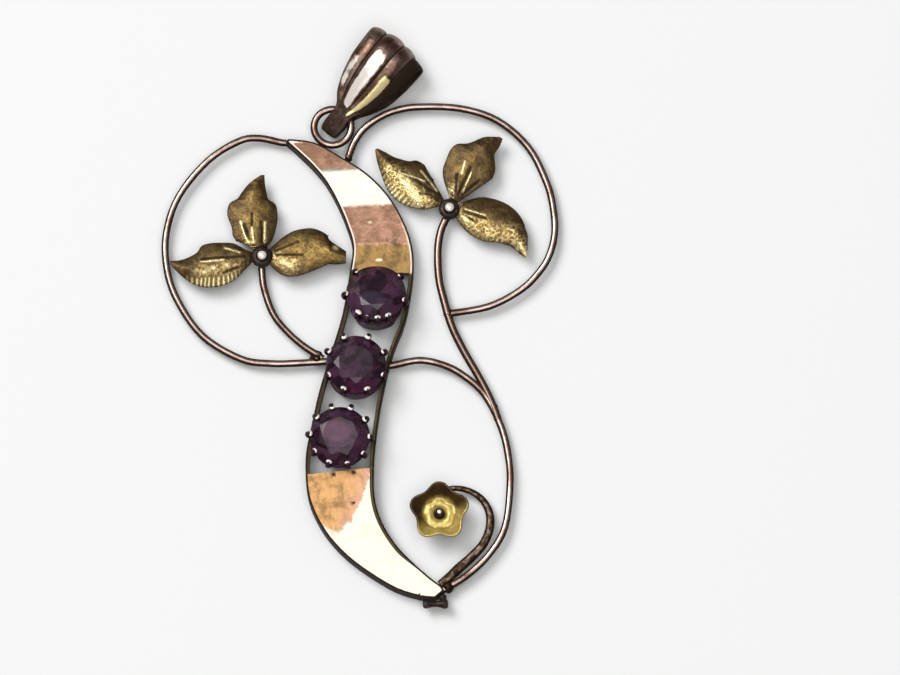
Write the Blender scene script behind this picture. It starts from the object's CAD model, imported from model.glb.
"""Finish of a rose gold scroll pendant with three purple stones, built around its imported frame."""

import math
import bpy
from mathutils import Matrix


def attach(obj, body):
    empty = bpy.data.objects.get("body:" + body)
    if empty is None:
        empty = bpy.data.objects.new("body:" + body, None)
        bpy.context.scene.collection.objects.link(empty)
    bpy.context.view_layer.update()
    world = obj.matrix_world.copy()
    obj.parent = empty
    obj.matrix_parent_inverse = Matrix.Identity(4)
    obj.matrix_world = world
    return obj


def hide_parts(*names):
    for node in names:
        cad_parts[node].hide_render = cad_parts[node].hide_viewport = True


bl_info = {
    "name": "Stone-set scroll pendant",
    "version": (1, 0, 0),
    "blender": (4, 5, 0),
    "location": "View3D > Sidebar > Pendant",
    "description": "Builds the ribbon, wires, leaves, stones, blossom and bail of a scroll pendant",
    "category": "Add Mesh",
}

import bmesh
import bpy
from bpy.props import FloatProperty, FloatVectorProperty, IntProperty, PointerProperty
from mathutils import Color, Matrix, Vector, noise
from mathutils.kdtree import KDTree

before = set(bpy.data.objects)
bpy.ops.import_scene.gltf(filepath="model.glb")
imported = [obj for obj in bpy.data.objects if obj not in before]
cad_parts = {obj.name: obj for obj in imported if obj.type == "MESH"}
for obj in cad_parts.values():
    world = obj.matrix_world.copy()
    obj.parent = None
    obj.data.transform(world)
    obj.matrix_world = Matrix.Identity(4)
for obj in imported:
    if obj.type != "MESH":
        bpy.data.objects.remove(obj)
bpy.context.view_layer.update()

# Pieces are shaped in millimetres on the pendant's plan, then moved and scaled to the frame
MM = 0.001
PLAN_MIDDLE = Vector((1.41, -1.36, 0.0))
UP = Vector((0.0, 0.0, 1.0))
# Vertices that lie nearer to each other than this become one, in a fine and in a coarse mesh
WELD = 0.0005
COARSE_WELD = 0.002
# The photograph's upward direction on the plan
HEAD_TURN = math.radians(12.5)
HEADWARD = Vector((math.sin(HEAD_TURN), math.cos(HEAD_TURN), 0.0))
RIGHTWARD = Vector((math.cos(HEAD_TURN), -math.sin(HEAD_TURN), 0.0))

# Heights: middle of the wires, top of the ribbon's walls and of its plates, edge of the leaves
WIRE_Z = 0.9
WALL_TOP = 1.6
PLATE_TOP = 1.52
LEAF_EDGE = 1.5

# Stained and worn spots of the ribbon: x, y, radius
PITS = [
    (-5.14, -13.17, 0.24), (-3.47, -13.36, 0.22), (-4.03, -15.88, 0.16), (-0.44, -24.72, 0.18),
]
# The ribbon's middle line in the photograph's directions: headward, rightward
RIBBON_MIDDLE = [
    (-24.5, 5.9), (-23.25, 4.46), (-22.0, 2.67), (-20.56, 1.05), (-18.95, -0.23), (-17.3, -1.08),
    (-15.6, -1.53), (-13.7, -1.66), (-12.0, -1.6), (-9.65, -1.24), (-6.75, -0.68), (-3.6, 0.16),
    (-0.48, 1.18), (3.3, 1.8), (5.7, 1.84), (7.85, 1.45), (10.4, 0.2), (11.7, -0.9), (12.8, -2.4),
    (13.6, -3.5), (14.6, -5.2),
]

# Ends of the differently finished stretches of the ribbon, headward. What is named fades in from
# the first number to the second, and below RAILS_LOW the rails end
STAIN_LOW = (-19.3, -18.5)
STAIN_TOP = (6.1, 5.5)
BAND_LOW = (8.95, 9.2)
BAND_TOP = (12.8, 12.0)
PALE_TOP = (-11.0, -12.0)
RAILS_LOW = (-13.5, -13.6)
RAILS_TOP = (3.3, 3.1)
RIM_LOW = (3.2, 3.5)
# The stretch where the ribbon is open between its two walls
OPEN_LOW = -14.5
OPEN_TOP = 4.0

# Routes of the wires: x, y
LEFT_LOOP = [
    (-2.85, 15.66), (-3.30, 15.80), (-5.00, 16.55), (-6.70, 16.65), (-9.60, 15.55), (-12.60, 13.10),
    (-14.30, 10.20), (-14.90, 7.20), (-14.60, 4.30), (-13.20, 0.90), (-10.50, -1.70),
    (-8.20, -2.60), (-6.30, -3.00), (-3.50, -3.45),
]
LEFT_STEM = [
    (-7.05, 6.20), (-7.20, 5.30), (-7.35, 3.80), (-7.10, 1.60), (-6.40, 0.00),
    (-5.30, -1.60), (-4.20, -2.75), (-3.90, -3.10),
]
RIGHT_LOOP = [
    (1.98, 13.35), (2.60, 14.35), (3.60, 15.35), (5.00, 16.05), (6.60, 16.40), (8.60, 16.30),
    (12.00, 15.40), (14.80, 13.70), (16.80, 10.90), (17.62, 7.60), (17.68, 5.40), (17.38, 3.40),
    (16.70, 1.80), (15.60, 0.45), (13.60, -0.90), (10.60, -1.75), (7.20, -1.62),
]
RIGHT_STEM = [
    (9.05, 6.70), (8.70, 6.30), (8.16, 5.55), (7.64, 4.35), (7.28, 2.90), (7.06, 1.40), (7.05, 0.00),
    (7.20, -2.60), (7.70, -4.90), (8.60, -7.90), (9.05, -9.90), (9.25, -11.40),
]
LOWER_LOOP = [
    (1.30, -4.92), (1.90, -4.95), (3.90, -5.00), (5.60, -5.70), (7.10, -6.90), (8.60, -9.00),
    (9.35, -12.00), (9.40, -14.60), (9.00, -17.10), (7.80, -20.50), (6.00, -22.50), (3.90, -23.80),
    (2.15, -24.45), (1.60, -24.62),
]
# The blossom's stem from the lower tip to under the cup: x, y, width, height
BLOSSOM_STEM = [
    (1.50, -24.10, 0.70, 0.50), (2.40, -23.65, 0.80, 0.55), (3.30, -23.10, 0.85, 0.55),
    (4.60, -22.35, 0.80, 0.50), (5.80, -21.45, 0.75, 0.50), (6.60, -20.20, 0.72, 0.45),
    (6.80, -18.80, 0.65, 0.45), (6.30, -17.50, 0.55, 0.40), (5.20, -16.60, 0.50, 0.40),
    (3.90, -16.30, 0.45, 0.35), (3.00, -16.90, 0.45, 0.35), (2.75, -18.00, 0.45, 0.35),
]
# Drops of solder where wires meet the ribbon: x, y, radius
LEFT_SOLDER = [(-4.40, -3.05, 0.52), (-4.25, -2.75, 0.42)]
RIGHT_SOLDER = [(2.10, -24.45, 0.50), (7.22, -1.65, 0.42), (9.10, -10.30, 0.36), (1.95, 13.30, 0.36)]

# Claws of the leaning collet that are smaller or larger than the others: angle, size
ODD_CLAWS = {25: 0.7, 119: 0.6, 221: 1.3, 240: 0.5}
# Each collet: x, y, lean towards the bail, angles of its claws
COLLETS = [
    (1.51, 0.65, 13, (-31, 25, 119, 172, 221, 240, 261, 282)),
    (-1.38, -4.72, 4, (11, 54, 101, 142, 192, 233, 280, 323)),
    (-3.98, -10.35, 0, (-15, 21, 57, 93, 128, 164, 200, 236, 272, 309)),
]
# Height of the line about which a collet leans
LEAN_HEIGHT = 1.2
# Share by which each cup is wider on its lower side
CUP_SPREAD = (0.30, 0.32, 0.18)

# Each leaf: node, head of its sprig, heading, length
LEFT_HEAD = Vector((-6.95, 6.37, 0.0))
RIGHT_HEAD = Vector((9.19, 7.02, 0.0))
LEAVES = [
    ("left_leaf_1", LEFT_HEAD, 76.0, 7.05),
    ("left_leaf_2", LEFT_HEAD, 170.0, 7.7),
    ("left_leaf_3", LEFT_HEAD, -13.0, 7.0),
    ("right_leaf_1", RIGHT_HEAD, 126.6, 8.0),
    ("right_leaf_2", RIGHT_HEAD, 41.1, 7.5),
    ("right_leaf_3", RIGHT_HEAD, -46.2, 7.55),
]
# Each leaf's finish: how golden it is between its marks, how bright its golden marks are,
# and how deep the comb of strokes on its lower margin is, all from 0 to 1
LEAF_FINISH = {
    "left_leaf_1": (0.04, 0.8, 0.0), "left_leaf_2": (0.0, 0.35, 1.0), "left_leaf_3": (0.20, 0.8, 0.0),
    "right_leaf_1": (0.02, 1.0, 1.0), "right_leaf_2": (0.0, 0.7, 0.0), "right_leaf_3": (0.02, 0.75, 0.15),
}
# Marks on the leaves, seen along each leaf: kind, from x, y to x, y, half width
LEAF_MARKS = {
    "left_leaf_1": [
        ("warm", 1.4, 0.8, 6.0, 0.5, 0.6), ("gold", 0.9, 1.0, 1.2, 1.2, 0.4),
        ("light", 2.9, -0.2, 1.2, -0.2, 0.10), ("light", 2.9, 1.9, 1.2, 1.3, 0.08),
        ("light", 2.4, 0.9, 1.2, 0.7, 0.07), ("light", 1.0, 1.0, 1.1, 1.2, 0.2),
        ("cut", 3.6, 0.9, 2.6, 0.9, 0.10), ("cut", 2.6, 1.6, 1.2, 1.0, 0.11),
        ("cut", 2.9, 0.1, 1.3, 0.0, 0.10),
    ],
    "left_leaf_2": [
        ("gold", 5.2, 1.1, 2.2, 0.9, 0.5), ("light", 5.1, 0.3, 3.2, 0.2, 0.08),
        ("light", 3.1, -0.9, 1.8, -0.4, 0.08), ("light", 4.0, 0.9, 4.1, 0.9, 0.14),
        ("light", 2.9, 0.7, 3.0, 0.7, 0.14), ("light", 4.8, 1.2, 4.9, 1.2, 0.12),
        ("cut", 3.2, 1.3, 2.0, 0.9, 0.12), ("cut", 3.0, 0.0, 1.4, -0.1, 0.11),
        ("cut", 5.0, 0.05, 3.2, -0.05, 0.08),
    ],
    "left_leaf_3": [
        ("warm", 2.3, 0.6, 5.2, 0.6, 0.7), ("gold", 1.3, -0.4, 2.6, -0.7, 0.5),
        ("light", 6.1, 0.8, 6.2, 0.8, 0.22), ("light", 1.6, -0.5, 2.4, -0.8, 0.2),
        ("cut", 1.2, 0.1, 3.4, 0.1, 0.09), ("cut", 1.2, 0.5, 3.0, 1.3, 0.09),
    ],
    "right_leaf_1": [
        ("gold", 5.8, 1.0, 1.8, 1.2, 0.75), ("light", 5.1, 0.4, 3.1, -0.4, 0.08),
        ("light", 3.9, -0.9, 1.8, -0.5, 0.08), ("light", 2.9, 1.2, 2.3, 1.4, 0.4),
        ("light", 4.4, 0.9, 3.4, 0.8, 0.25), ("cut", 4.9, 0.2, 1.8, -0.3, 0.12),
        ("cut", 3.6, -1.1, 1.6, -0.7, 0.11), ("cut", 2.6, 0.6, 1.8, 0.1, 0.11),
    ],
    "right_leaf_2": [
        ("warm", 2.4, 0.5, 4.2, 1.1, 0.4), ("gold", 1.0, 0.7, 1.5, 0.9, 0.4),
        ("light", 1.1, 0.8, 1.3, 0.8, 0.2), ("light", 3.0, 0.9, 4.0, 1.3, 0.08),
        ("light", 3.5, 0.3, 1.8, -0.1, 0.07), ("cut", 2.7, 1.2, 1.5, 0.4, 0.11),
        ("cut", 3.8, 0.6, 1.5, 0.1, 0.12), ("cut", 3.3, -0.6, 1.6, -0.2, 0.11),
    ],
    "right_leaf_3": [
        ("gold", 1.4, 0.0, 4.8, 0.2, 0.65), ("gold", 5.6, 0.9, 7.5, 0.4, 0.8),
        ("light", 1.2, 0.6, 2.8, 1.1, 0.09), ("light", 1.4, -0.1, 1.8, -0.1, 0.25),
        ("light", 6.6, 0.6, 7.4, 0.4, 0.2), ("cut", 1.2, 0.4, 3.0, 0.9, 0.11),
        ("cut", 1.2, 0.1, 2.6, 0.2, 0.09),
    ],
}

BLOSSOM_AT = Vector((2.72, -18.3, 0.0))
PETALS = 5
FIRST_PETAL = math.radians(6)
RING_AT = Vector((1.20, 16.08, 1.15))
RING_RADIUS = 1.55
RING_WIRE = 0.6
# How far the bail's eye lies inside the ring's middle line, and which way the bail points
EYE_SHIFT = 0.1
BAIL_HEADING = 38.0
# Ends of the drop eye, and the drop of solder that holds it
EYE_FROM = Vector((-0.30, -25.45, 1.15))
EYE_TO = Vector((1.80, -25.95, 1.15))
EYE_SOLDER = Vector((1.45, -25.30, 1.10))


# Curves and meshes


def blend(a, b, c, d, t):
    """A value on the smooth curve from b to c, with neighbours a and d."""
    near = 2 * a - 5 * b + 4 * c - d
    far = 3 * b - a - 3 * c + d
    return 0.5 * (2 * b + (c - a) * t + near * t * t + far * t**3)


def curve(rows, steps):
    """A smooth curve through rows of numbers, with `steps` stations from each row to the next."""
    last = len(rows) - 1
    stations = []
    for i in range(last):
        a, b = rows[max(i - 1, 0)], rows[i]
        c, d = rows[i + 1], rows[min(i + 2, last)]
        for k in range(steps):
            stations.append([blend(a[n], b[n], c[n], d[n], k / steps) for n in range(len(b))])
    stations.append(list(rows[last]))
    return stations


def between(value, low, high):
    """0 below low, 1 above high and a smooth step in between."""
    t = min(max((value - low) / (high - low), 0.0), 1.0)
    return t * t * (3 - 2 * t)


def profile(rows, x):
    """Height at x on straight lines through rows of (x, height)."""
    for (x0, y0), (x1, y1) in zip(rows, rows[1:]):
        if x <= x1:
            return y0 + (y1 - y0) * max(x - x0, 0.0) / (x1 - x0)
    return rows[-1][1]


def grain(point, size, seed=0.0):
    """Smooth noise from -1 to 1, with bumps of about `size` millimetres."""
    return noise.noise(Vector((point.x / size + seed, point.y / size - seed, point.z / size)))


def edges_of(geometry):
    return [g for g in geometry if isinstance(g, bmesh.types.BMEdge)]


def edges_round(verts):
    """The edges at some vertices, each once and in an order that is the same in each run."""
    return list(dict.fromkeys(e for v in verts for e in v.link_edges))


def pull_ring(bm, edges):
    """Extrudes a ring of edges, and gives the vertices and the edges of the new ring."""
    made = bmesh.ops.extrude_edge_only(bm, edges=edges)["geom"]
    ring = [g for g in made if isinstance(g, bmesh.types.BMVert)]
    new = set(ring)
    return ring, [e for e in edges_of(made) if e.verts[0] in new and e.verts[1] in new]


def weld(bm, reach=WELD):
    bmesh.ops.remove_doubles(bm, verts=bm.verts, dist=reach)


def simplify(bm, degrees, **options):
    """Joins faces that meet at less than this angle."""
    angle = math.radians(degrees)
    bmesh.ops.dissolve_limit(bm, angle_limit=angle, verts=bm.verts, edges=bm.edges, **options)


def bevel(bm, edges, offset, segments):
    """Rounds edges, and gives the faces that this makes."""
    return bmesh.ops.bevel(
        bm, geom=edges, offset=offset, offset_type="OFFSET", segments=segments, profile=0.5,
        affect="EDGES", material=-1, clamp_overlap=True,
    )["faces"]


def move(bm, matrix):
    bmesh.ops.transform(bm, matrix=matrix, verts=bm.verts)


def layers(bm, *names):
    """New numbers on the vertices, which the materials read as attributes."""
    return [bm.verts.layers.float.new(name) for name in names]


def use_second(verts):
    """Puts the faces round some vertices on the second material, number 1."""
    for vert in verts:
        for face in vert.link_faces:
            face.material_index = 1


def copy_of(node):
    """The merged mesh of a CAD node, in millimetres on the plan."""
    bm = bmesh.new()
    bm.from_mesh(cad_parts[node].data)
    bmesh.ops.scale(bm, vec=(1 / MM,) * 3, verts=bm.verts)
    bmesh.ops.translate(bm, vec=PLAN_MIDDLE, verts=bm.verts)
    weld(bm)
    bmesh.ops.dissolve_degenerate(bm, edges=bm.edges, dist=WELD)
    return bm


def slice_up(bm, direction, pitch):
    """Cuts the whole mesh by planes across `direction`, `pitch` apart."""
    ways = [v.co.dot(direction) for v in bm.verts]
    way = min(ways) + pitch / 2
    while way < max(ways):
        geometry = bm.verts[:] + bm.edges[:] + bm.faces[:]
        bmesh.ops.bisect_plane(bm, geom=geometry, dist=0.0001, plane_co=direction * way, plane_no=direction)
        way += pitch


def sweep(bm, stations, sides):
    """Sweeps an ellipse along stations of x, y, z, width, height."""
    last = len(stations) - 1
    places = []
    for i, (x, y, z, width, height) in enumerate(stations):
        ahead = Vector(stations[min(i + 1, last)][:3]) - Vector(stations[max(i - 1, 0)][:3])
        ahead.normalize()
        side = UP.cross(ahead).normalized()
        place = Matrix((side * width / 2, ahead.cross(side) * height / 2, ahead)).transposed().to_4x4()
        place.translation = (x, y, z)
        places.append(place)
    ring = bmesh.ops.create_circle(bm, segments=sides, radius=1.0)["verts"]
    bmesh.ops.transform(bm, matrix=places[0], verts=ring)
    start = edges = edges_round(ring)
    for before, after in zip(places, places[1:]):
        ring, edges = pull_ring(bm, edges)
        bmesh.ops.transform(bm, matrix=after @ before.inverted(), verts=ring)
    for end in (start, edges):
        bmesh.ops.contextual_create(bm, geom=end)


def spin(bm, geometry, steps):
    """Turns vertices and edges once round the z axis."""
    turn = 2 * math.pi
    bmesh.ops.spin(bm, geom=geometry, cent=(0, 0, 0), axis=UP, angle=turn, steps=steps, use_merge=True)
    weld(bm)


def turned_profile(bm, rows, steps=48):
    """A turned shape about the z axis, from rows of (radius, height)."""
    verts = [bmesh.ops.create_vert(bm, co=(r, 0.0, z))["vert"][0] for r, z in rows]
    edges = [bm.edges.new(pair) for pair in zip(verts, verts[1:])]
    spin(bm, verts + edges, steps)


def ball(bm, at, radius, squash=1.0, segments=24):
    """A ball, flattened to `squash` of its height."""
    place = Matrix.Translation(at) @ Matrix.Diagonal((1, 1, squash, 1))
    return bmesh.ops.create_uvsphere(
        bm, u_segments=segments, v_segments=segments // 2, radius=radius, matrix=place
    )["verts"]


def sharpen(bm, degrees):
    """Marks the edges sharper than this as sharp, and all faces as smooth."""
    for face in bm.faces:
        face.smooth = True
    for edge in bm.edges:
        if len(edge.link_faces) == 2 and edge.calc_face_angle(0.0) > math.radians(degrees):
            edge.smooth = False


def make_piece(bm, name, materials, nodes, body="pendant", sharp=40.0):
    """Moves a finished mesh from the plan into the frame and lets it ride on its body.

    `materials` are the functions that make them. Edges over `sharp` degrees stay sharp, or all of
    them where it is None.
    """
    if sharp is None:
        for face in bm.faces:
            face.smooth = False
    else:
        sharpen(bm, sharp)
    bmesh.ops.translate(bm, vec=-PLAN_MIDDLE, verts=bm.verts)
    bmesh.ops.scale(bm, vec=(MM,) * 3, verts=bm.verts)
    mesh = bpy.data.meshes.new(name)
    bm.to_mesh(mesh)
    bm.free()
    for make in materials:
        mesh.materials.append(known(make))
    piece = bpy.data.objects.new(name, mesh)
    bpy.context.scene.collection.objects.link(piece)
    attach(piece, body)
    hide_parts(*nodes)
    return piece


def thicken(piece, thickness):
    """Gives a sheet its thickness, below the face that is there."""
    wall = piece.modifiers.new("Sheet", "SOLIDIFY")
    wall.thickness = thickness * MM
    wall.offset = -1.0
    wall.use_even_offset = False


def outward(bm):
    bmesh.ops.recalc_face_normals(bm, faces=bm.faces)


# Materials


class Shade:
    """A material's nodes, with places given in millimetres."""

    def __init__(self, name):
        self.material = bpy.data.materials.new(name)
        self.material.use_nodes = True
        self.nodes = self.material.node_tree.nodes
        self.links = self.material.node_tree.links
        self.shader = self.nodes["Principled BSDF"]
        where = self.nodes.new("ShaderNodeTexCoord")
        self.facing = where.outputs["Normal"]
        scaled = self.vector("SCALE", where.outputs["Object"], scale=1 / MM)
        self.place = self.vector("ADD", scaled, tuple(PLAN_MIDDLE))

    def feed(self, socket, value):
        """Links a socket to another one, or gives it a number or a colour."""
        if isinstance(value, bpy.types.NodeSocket):
            self.links.new(value, socket)
        elif isinstance(value, Color):
            socket.default_value = (*value, 1.0)
        elif value is not None:
            socket.default_value = value

    def fill(self, node, values):
        """Feeds the sockets of a node by their names."""
        for name, value in values.items():
            self.feed(node.inputs[name.replace("_", " ")], value)
        return node

    def add(self, kind, **values):
        return self.fill(self.nodes.new("ShaderNode" + kind), values)

    def vector(self, operation, a, b=None, scale=None):
        node = self.nodes.new("ShaderNodeVectorMath")
        node.operation = operation
        self.feed(node.inputs[0], a)
        self.feed(node.inputs[1], b)
        self.feed(node.inputs[3], scale)
        return node.outputs["Value" if operation == "DOT_PRODUCT" else "Vector"]

    def math(self, operation, a, b):
        node = self.nodes.new("ShaderNodeMath")
        node.operation = operation
        self.feed(node.inputs[0], a)
        self.feed(node.inputs[1], b)
        return node.outputs[0]

    def times(self, a, b):
        return self.math("MULTIPLY", a, b)

    def plus(self, a, b):
        return self.math("ADD", a, b)

    def minus(self, a, b):
        return self.math("SUBTRACT", a, b)

    def most(self, a, b):
        return self.math("MAXIMUM", a, b)

    def along(self, direction):
        """Way along a direction, in millimetres."""
        return self.vector("DOT_PRODUCT", self.place, tuple(direction))

    def noise(self, size, detail=3.0, roughness=0.5, warp=0.0, stretch=(1, 1, 1)):
        """Noise from 0 to 1 with blots of about `size` millimetres."""
        place = self.vector("MULTIPLY", self.place, stretch)
        node = self.add(
            "TexNoise", Vector=place, Scale=1 / size, Detail=detail, Roughness=roughness, Distortion=warp
        )
        return node.outputs[0]

    def cells(self, size):
        """Distance to the nearest of scattered points, about `size` millimetres apart."""
        return self.add("TexVoronoi", Vector=self.place, Scale=1 / size).outputs["Distance"]

    def tiles(self, size):
        """A number from 0 to 1 that differs from one angular patch to the next."""
        node = self.add("TexVoronoi", Vector=self.place, Scale=1 / size)
        return self.vector("DOT_PRODUCT", node.outputs["Color"], (0.5, 0.5, 0.0))

    def step(self, value, low, high):
        """0 where value is at low, 1 where it is at high."""
        falling = float(low > high)
        node = self.add(
            "MapRange", Value=value, From_Min=min(low, high), From_Max=max(low, high),
            To_Min=falling, To_Max=1.0 - falling,
        )
        node.interpolation_type = "SMOOTHSTEP"
        return node.outputs["Result"]

    def mix(self, share, a, b):
        """Colour a, with `share` of colour b."""
        node = self.nodes.new("ShaderNodeMix")
        node.data_type = "RGBA"
        self.feed(node.inputs[0], share)
        self.feed(node.inputs[6], a)
        self.feed(node.inputs[7], b)
        return node.outputs[2]

    def range(self, share, a, b):
        """A number from a to b."""
        node = self.nodes.new("ShaderNodeMix")
        self.feed(node.inputs[0], share)
        self.feed(node.inputs[2], a)
        self.feed(node.inputs[3], b)
        return node.outputs[0]

    def recess(self, reach):
        """1 deep in corners, 0 in the open."""
        node = self.add("AmbientOcclusion", Distance=reach * MM)
        node.samples = 6
        return self.minus(1.0, node.outputs["AO"])

    def side(self, low, high):
        """1 on faces that look sideways or down, 0 on those that look up."""
        height = self.vector("DOT_PRODUCT", self.facing, tuple(UP))
        return self.step(height, high, low)

    def attribute(self, name):
        node = self.nodes.new("ShaderNodeAttribute")
        node.attribute_name = name
        return node.outputs["Fac"]

    def bump(self, height, depth, below=None):
        """A bumpy normal, with hollows of about `depth` millimetres."""
        node = self.add("Bump", Strength=1.0, Distance=depth * MM, Height=height, Normal=below)
        return node.outputs["Normal"]

    def spot(self, centre, radii):
        """1 in the middle of an oval that is given rightward and headward, 0 outside it."""
        total = 0.0
        for direction, middle, radius in zip((RIGHTWARD, HEADWARD), centre, radii):
            off = self.math("DIVIDE", self.minus(self.along(direction), middle), radius)
            total = self.plus(self.times(off, off), total)
        return self.step(total, 1.0, 0.3)

    def finish(self, **values):
        self.fill(self.shader, values)
        return self.material

    def metal(self, colour, dirt, rough, bumps, milk=0.0):
        """Metal under dull tarnish where it is dirty, and scattering light where it is milky."""
        tarnish = bpy.context.scene.pendant_metal.oxide
        shine = self.range(dirt, self.minus(1.0, milk), 0.0)
        return self.finish(
            Base_Color=self.mix(dirt, colour, tarnish), Metallic=shine,
            Roughness=self.range(dirt, rough, 0.5), Specular_IOR_Level=self.range(dirt, 0.3, 0.03),
            Normal=bumps,
        )


def known(make):
    """The material that a function makes, made once under the function's name and then shared."""
    name = make.__name__.replace("_", " ").capitalize()
    return bpy.data.materials.get(name) or make(Shade(name))


def ribbon_gold(shade, wall=False):
    """Gold of the ribbon's plates or, with their rims and rails, of the walls' tops."""
    look = bpy.context.scene.pendant_metal
    headward = shade.along(HEADWARD)
    rightward = shade.along(RIGHTWARD)
    ragged = shade.times(shade.minus(shade.noise(0.8, 4.0, 0.6), 0.5), 2.4)
    # The lower stain ends in a rounded lobe
    off_middle = shade.plus(rightward, 2.2)
    lobe = shade.times(shade.times(off_middle, off_middle), -0.55)
    near_low = shade.step(shade.plus(shade.plus(headward, lobe), ragged), *STAIN_LOW)
    near_top = shade.step(shade.plus(headward, shade.times(ragged, 0.3)), *STAIN_TOP)
    near_stones = shade.times(near_top, near_low)
    blots = shade.noise(0.9, 5.0, 0.65)
    stain = shade.mix(shade.step(blots, 0.40, 0.68), look.orange, look.olive)
    pink = shade.plus(shade.times(headward, -0.4), shade.plus(rightward, ragged))
    stain = shade.mix(shade.times(shade.step(pink, 4.6, 6.6), 0.75), stain, look.pink)
    upper = shade.mix(shade.step(shade.noise(0.9, 5.0, 0.65), 0.40, 0.66), look.tan, look.matte)
    stain = shade.mix(shade.step(headward, -2.0, 3.0), stain, upper)
    tip = shade.times(shade.step(headward, 11, 14), 0.1)
    dull = shade.plus(shade.noise(0.9, 5.0, 0.65), tip)
    rose = shade.mix(shade.step(dull, 0.36, 0.66), look.rose, look.copper)
    # Polished bands reflect the overhead light, and so does all of the lower plate
    slant = shade.plus(headward, shade.times(rightward, -0.06))
    slant = shade.plus(slant, shade.times(ragged, 0.12))
    band = shade.times(shade.step(slant, *BAND_LOW), shade.step(slant, *BAND_TOP))
    band = shade.most(band, shade.step(headward, *PALE_TOP))
    blush = shade.times(shade.step(shade.noise(2.2, 4.0, 0.6), 0.45, 0.7), 0.5)
    blush = shade.plus(blush, shade.times(shade.step(headward, -11.0, -14.0), 0.5))
    pale = shade.mix(blush, look.pale, look.blush)
    colour = shade.mix(near_stones, shade.mix(band, rose, pale), stain)
    # Two small worn spots and a smudge on the upper plate
    worn = shade.most(shade.spot((1.58, 4.40), (0.34, 0.16)), shade.spot((0.83, 7.67), (0.22, 0.14)))
    colour = shade.mix(worn, colour, look.glint)
    smudge = shade.times(shade.spot((3.2, 6.0), (0.9, 0.45)), shade.step(blots, 0.40, 0.60))
    dirt = shade.most(shade.side(0.25, 0.8), shade.step(shade.recess(0.5), 0.35, 0.8))
    dirt = shade.most(dirt, shade.times(smudge, 0.6))
    dirt = shade.most(dirt, shade.attribute("pit"))
    rough = shade.range(shade.noise(0.8, 4.0), 0.10, 0.2)
    rough = shade.range(near_stones, rough, 0.42)
    milk = shade.times(worn, 0.6)
    if wall:
        # Dark rails run beside the stones, at a distance from the outline that `gap` gives
        gap = shade.attribute("gap")
        right = shade.attribute("right")
        below = shade.step(shade.plus(headward, shade.times(rightward, -0.1)), *RAILS_LOW)
        beside = shade.minus(shade.step(headward, *RAILS_TOP), below)
        reach = shade.range(shade.step(headward, -22.5, -20.5), 0.12, 0.34)
        covered = shade.step(shade.minus(gap, reach), 0.03, -0.01)
        rail = shade.most(beside, shade.times(shade.times(right, below), covered))
        middle = shade.times(shade.step(gap, 0.08, 0.16), shade.step(gap, 0.30, 0.22))
        patchy = shade.step(shade.noise(0.9, 3.0, stretch=(1.5, 0.4, 1.0)), 0.35, 0.6)
        streak = shade.times(shade.times(middle, patchy), shade.range(right, 0.12, 0.3))
        tint = shade.mix(streak, look.rail, look.matte)
        tint = shade.mix(right, shade.mix(0.5, tint, look.soot), tint)
        colour = shade.mix(rail, colour, tint)
        # A bright line runs inside the outer edges of the upper plate, fainter on its right
        rim = shade.times(shade.step(gap, 0.14, 0.18), shade.step(gap, 0.30, 0.24))
        faint = shade.times(right, shade.step(headward, 4.5, 9.0))
        rim = shade.times(rim, shade.minus(shade.step(headward, *RIM_LOW), faint))
        colour = shade.mix(shade.times(rim, 0.8), colour, look.white)
        milk = shade.most(milk, shade.times(rim, 0.5))
        rough = shade.range(shade.most(rail, rim), rough, 0.4)
        dirt = shade.most(dirt, shade.step(gap, 0.18, 0.12))
    bumps = shade.bump(shade.noise(0.7, 4.0, 0.6), 0.010)
    bumps = shade.bump(shade.times(near_stones, shade.noise(0.3, 4.0, 0.65)), 0.03, bumps)
    bumps = shade.bump(shade.noise(0.25, 2.0, 0.5, stretch=(0.25, 3.0, 1.0)), 0.002, bumps)
    return shade.metal(colour, dirt, rough, bumps, milk)


def wall_gold(shade):
    """Gold of the ribbon's rims and of the rails beside the stones."""
    return ribbon_gold(shade, wall=True)


def wire_gold(shade):
    look = bpy.context.scene.pendant_metal
    dull = shade.most(shade.step(shade.noise(2.6, 5.0, 0.65), 0.40, 0.68), shade.attribute("dull"))
    rose = shade.mix(dull, look.wire, look.brown)
    edge = shade.plus(shade.side(0.72, 0.99), shade.times(shade.noise(0.4, 4.0), 0.3))
    dirt = shade.most(shade.step(edge, 0.25, 0.95), shade.step(shade.recess(0.4), 0.3, 0.8))
    bumps = shade.bump(shade.noise(0.35, 4.0, 0.6), 0.012)
    return shade.metal(rose, dirt, 0.2, bumps)


def stem_gold(shade):
    """The blossom's stem and the drops of solder: dark, with a few worn yellowish spots."""
    look = bpy.context.scene.pendant_metal
    top = shade.minus(1.0, shade.side(0.88, 0.98))
    worn = shade.times(top, shade.step(shade.noise(0.5, 4.0), 0.48, 0.66))
    colour = shade.mix(shade.step(shade.noise(0.4, 4.0), 0.4, 0.6), look.umber, look.oxide)
    colour = shade.mix(shade.times(worn, 0.35), colour, look.wire)
    edge = shade.side(0.45, 0.9)
    bumps = shade.bump(shade.noise(0.3, 4.0, 0.6), 0.03)
    return shade.metal(colour, edge, 0.4, bumps)


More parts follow.
